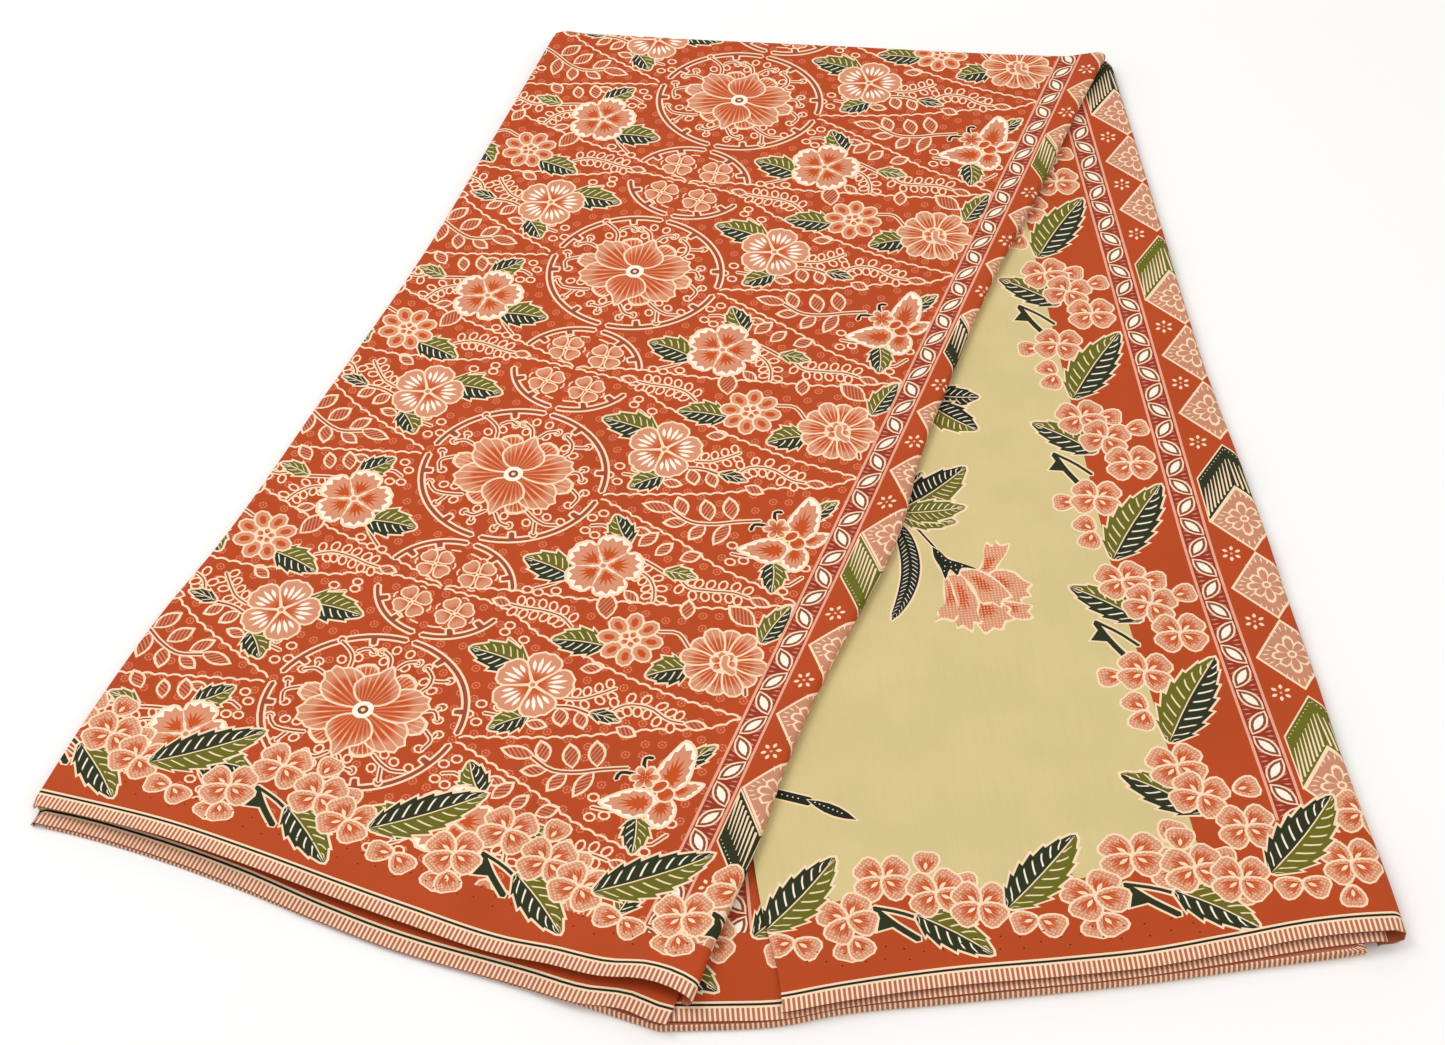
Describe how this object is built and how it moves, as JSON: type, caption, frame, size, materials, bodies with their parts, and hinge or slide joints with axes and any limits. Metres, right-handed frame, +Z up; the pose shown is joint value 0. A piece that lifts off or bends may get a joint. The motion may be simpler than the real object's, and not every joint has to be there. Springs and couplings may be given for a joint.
{
  "type": "folded printed cotton cloth",
  "caption": "Batik-printed cotton cloth, folded lengthwise and fanned out flat, with a floral body panel over a plain head panel with a flower border.",
  "frame": {"origin": "centre of the box's underside, on the surface the cloth rests on", "axes": "+Z up from the resting surface, -Y towards the near selvedges, +X to the right of someone facing +Y"},
  "size_m": [0.8096, 0.9652, 0.0185],
  "materials": {
    "body_print": "matt printed cotton",
    "head_print": "matt printed cotton",
    "selvedge_print": "matt printed cotton, selvedge edges"
  },
  "bodies": {
    "root": {"body_panel_top": "body_print", "body_panel_second": "body_print", "head_panel_top": "head_print", "head_panel_second": "head_print", "hidden_layers": "selvedge_print"}
  },
  "joints": []
}
